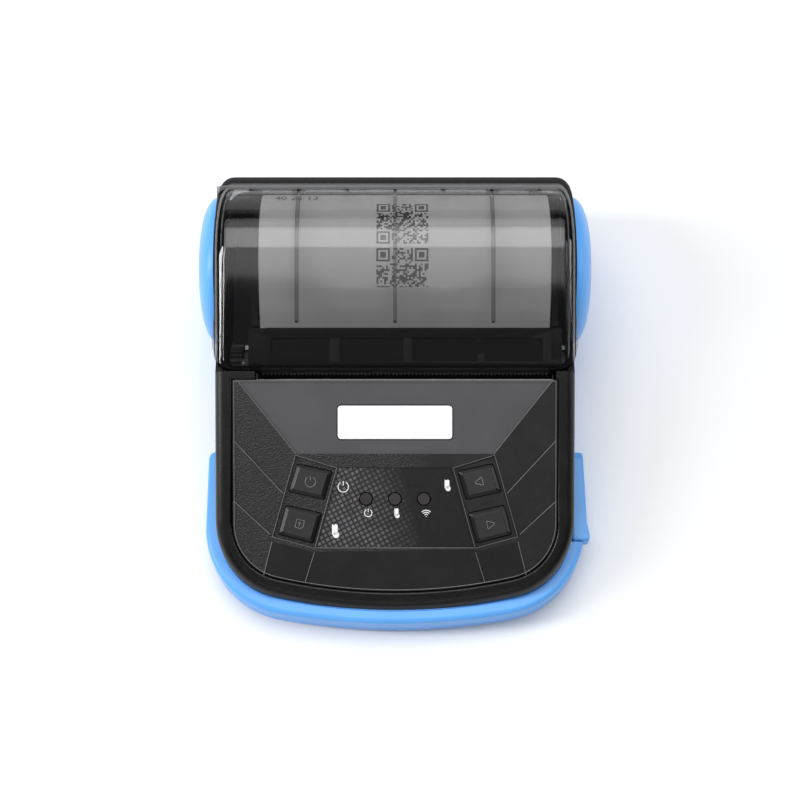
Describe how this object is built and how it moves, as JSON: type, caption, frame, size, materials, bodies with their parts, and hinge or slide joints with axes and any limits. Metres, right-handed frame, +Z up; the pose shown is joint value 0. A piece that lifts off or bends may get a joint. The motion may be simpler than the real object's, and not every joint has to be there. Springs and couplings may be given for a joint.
{
  "type": "portable receipt printer",
  "caption": "Hand-held thermal receipt printer: a drop-in paper roll under a hinged clear cover, a tear bar, a sloping key panel and a two-part case with round cheeks.",
  "frame": {"origin": "on the resting plane, under the middle of the printer's bounding box", "axes": "+Z up, -Y towards the user at the low front edge of the key panel, +X to the right of it"},
  "size_m": [0.1094, 0.125, 0.05],
  "materials": {
    "blue_plastic": "satin moulded",
    "black_plastic": "fine grained moulding",
    "panel_plastic": "fine grained moulding",
    "key_plastic": "satin moulded",
    "overlay_film": "printed film",
    "label_film": "smooth white",
    "lamp_lens": "dark lens",
    "smoked_cover": "clear, lightly smoked",
    "paper": "smooth thermal paper",
    "core_card": "wound card",
    "rubber": "black rubber",
    "steel": "ground steel",
    "sheet_metal": "plated sheet",
    "gear_plastic": "black moulding",
    "bush_plastic": "moulded",
    "ceramic": "smooth glazed face",
    "aluminium": "drawn",
    "circuit_board": "lacquered board",
    "battery_wrap": "shrink film"
  },
  "bodies": {
    "printer_body": {"battery_pack": "battery_wrap", "battery_terminal": "bush_plastic", "face_panel": "panel_plastic", "foot_front_left": "rubber", "foot_front_right": "rubber", "foot_rear_left": "rubber", "foot_rear_right": "rubber", "head_spring_left": "steel", "head_spring_right": "steel", "heat_sink": "aluminium", "hinge_pin_left": "steel", "hinge_pin_right": "steel", "idler_pin": "steel", "key_board": "circuit_board", "key_switch_back": "bush_plastic", "key_switch_feed": "bush_plastic", "key_switch_forward": "bush_plastic", "key_switch_power": "bush_plastic", "label_plate": "label_film", "led_left": "lamp_lens", "led_middle": "lamp_lens", "led_right": "lamp_lens", "lever_pin": "steel", "lower_shell": "blue_plastic", "main_board": "circuit_board", "mech_frame": "sheet_metal", "overlay_sheet": "overlay_film", "paper_bucket": "black_plastic", "paper_sensor": "bush_plastic", "paper_web": "paper", "power_jack": "bush_plastic", "print_head": "ceramic", "screw_front_left": "steel", "screw_front_right": "steel", "screw_rear_left": "steel", "screw_rear_right": "steel", "stepper_motor": "sheet_metal", "upper_case": "black_plastic", "usb_socket": "sheet_metal"},
    "cover": {"paper_cover": "smoked_cover", "platen_frame": "black_plastic", "tear_bar": "steel", "platen_bush_left": "bush_plastic", "platen_bush_right": "bush_plastic"},
    "platen": {"platen_rubber": "rubber", "platen_shaft": "steel", "platen_gear": "gear_plastic"},
    "idler": {"idler_gear": "gear_plastic"},
    "pinion": {"motor_pinion": "gear_plastic"},
    "roll": {"paper_roll": "paper", "roll_core": "core_card"},
    "power_key": {"power_button": "key_plastic"},
    "feed_key": {"feed_button": "key_plastic"},
    "back_key": {"back_button": "key_plastic"},
    "forward_key": {"forward_button": "key_plastic"},
    "lever": {"release_lever": "blue_plastic"},
    "battery_hatch": {"battery_door": "black_plastic"}
  },
  "joints": [
    {"name": "cover_hinge", "type": "hinge", "parent": "printer_body", "child": "cover", "pos_m": [0, 0.06, 0.024], "axis": [-1, 0, 0], "range_deg": [0, 95]},
    {"name": "platen_spin", "type": "hinge", "parent": "cover", "child": "platen", "pos_m": [0, 0.0054, 0.0294], "axis": [1, 0, 0], "continuous": true},
    {"name": "idler_spin", "type": "hinge", "parent": "printer_body", "child": "idler", "pos_m": [0, 0.00426, 0.01788], "axis": [1, 0, 0], "continuous": true},
    {"name": "pinion_spin", "type": "hinge", "parent": "printer_body", "child": "pinion", "pos_m": [0, -0.00548, 0.01527], "axis": [1, 0, 0], "continuous": true},
    {"name": "roll_spin", "type": "hinge", "parent": "printer_body", "child": "roll", "pos_m": [0, 0.0375, 0.026], "axis": [1, 0, 0], "continuous": true},
    {"name": "power_press", "type": "slide", "parent": "printer_body", "child": "power_key", "axis": [0, 0.3746, -0.9272], "range_m": [0, 0.0005], "stiffness_N_per_m": 300, "springref_m": -0.001},
    {"name": "feed_press", "type": "slide", "parent": "printer_body", "child": "feed_key", "axis": [0, 0.3746, -0.9272], "range_m": [0, 0.0005], "stiffness_N_per_m": 300, "springref_m": -0.001},
    {"name": "back_press", "type": "slide", "parent": "printer_body", "child": "back_key", "axis": [0, 0.3746, -0.9272], "range_m": [0, 0.0005], "stiffness_N_per_m": 300, "springref_m": -0.001},
    {"name": "forward_press", "type": "slide", "parent": "printer_body", "child": "forward_key", "axis": [0, 0.3746, -0.9272], "range_m": [0, 0.0005], "stiffness_N_per_m": 300, "springref_m": -0.001},
    {"name": "lever_lift", "type": "hinge", "parent": "printer_body", "child": "lever", "pos_m": [0, -0.01625, 0.00925], "axis": [-1, 0, 0], "range_deg": [0, 20], "stiffness_Nm_per_rad": 0.005, "springref_deg": -17.19},
    {"name": "battery_slide", "type": "slide", "parent": "printer_body", "child": "battery_hatch", "axis": [0, -1, 0], "range_m": [0, 0.005]}
  ],
  "couplings": [
    {"joint": "platen_spin", "follows": "roll_spin", "ratio": -3.6538},
    {"joint": "idler_spin", "follows": "roll_spin", "ratio": 2.8107},
    {"joint": "pinion_spin", "follows": "roll_spin", "ratio": -5.2198}
  ]
}
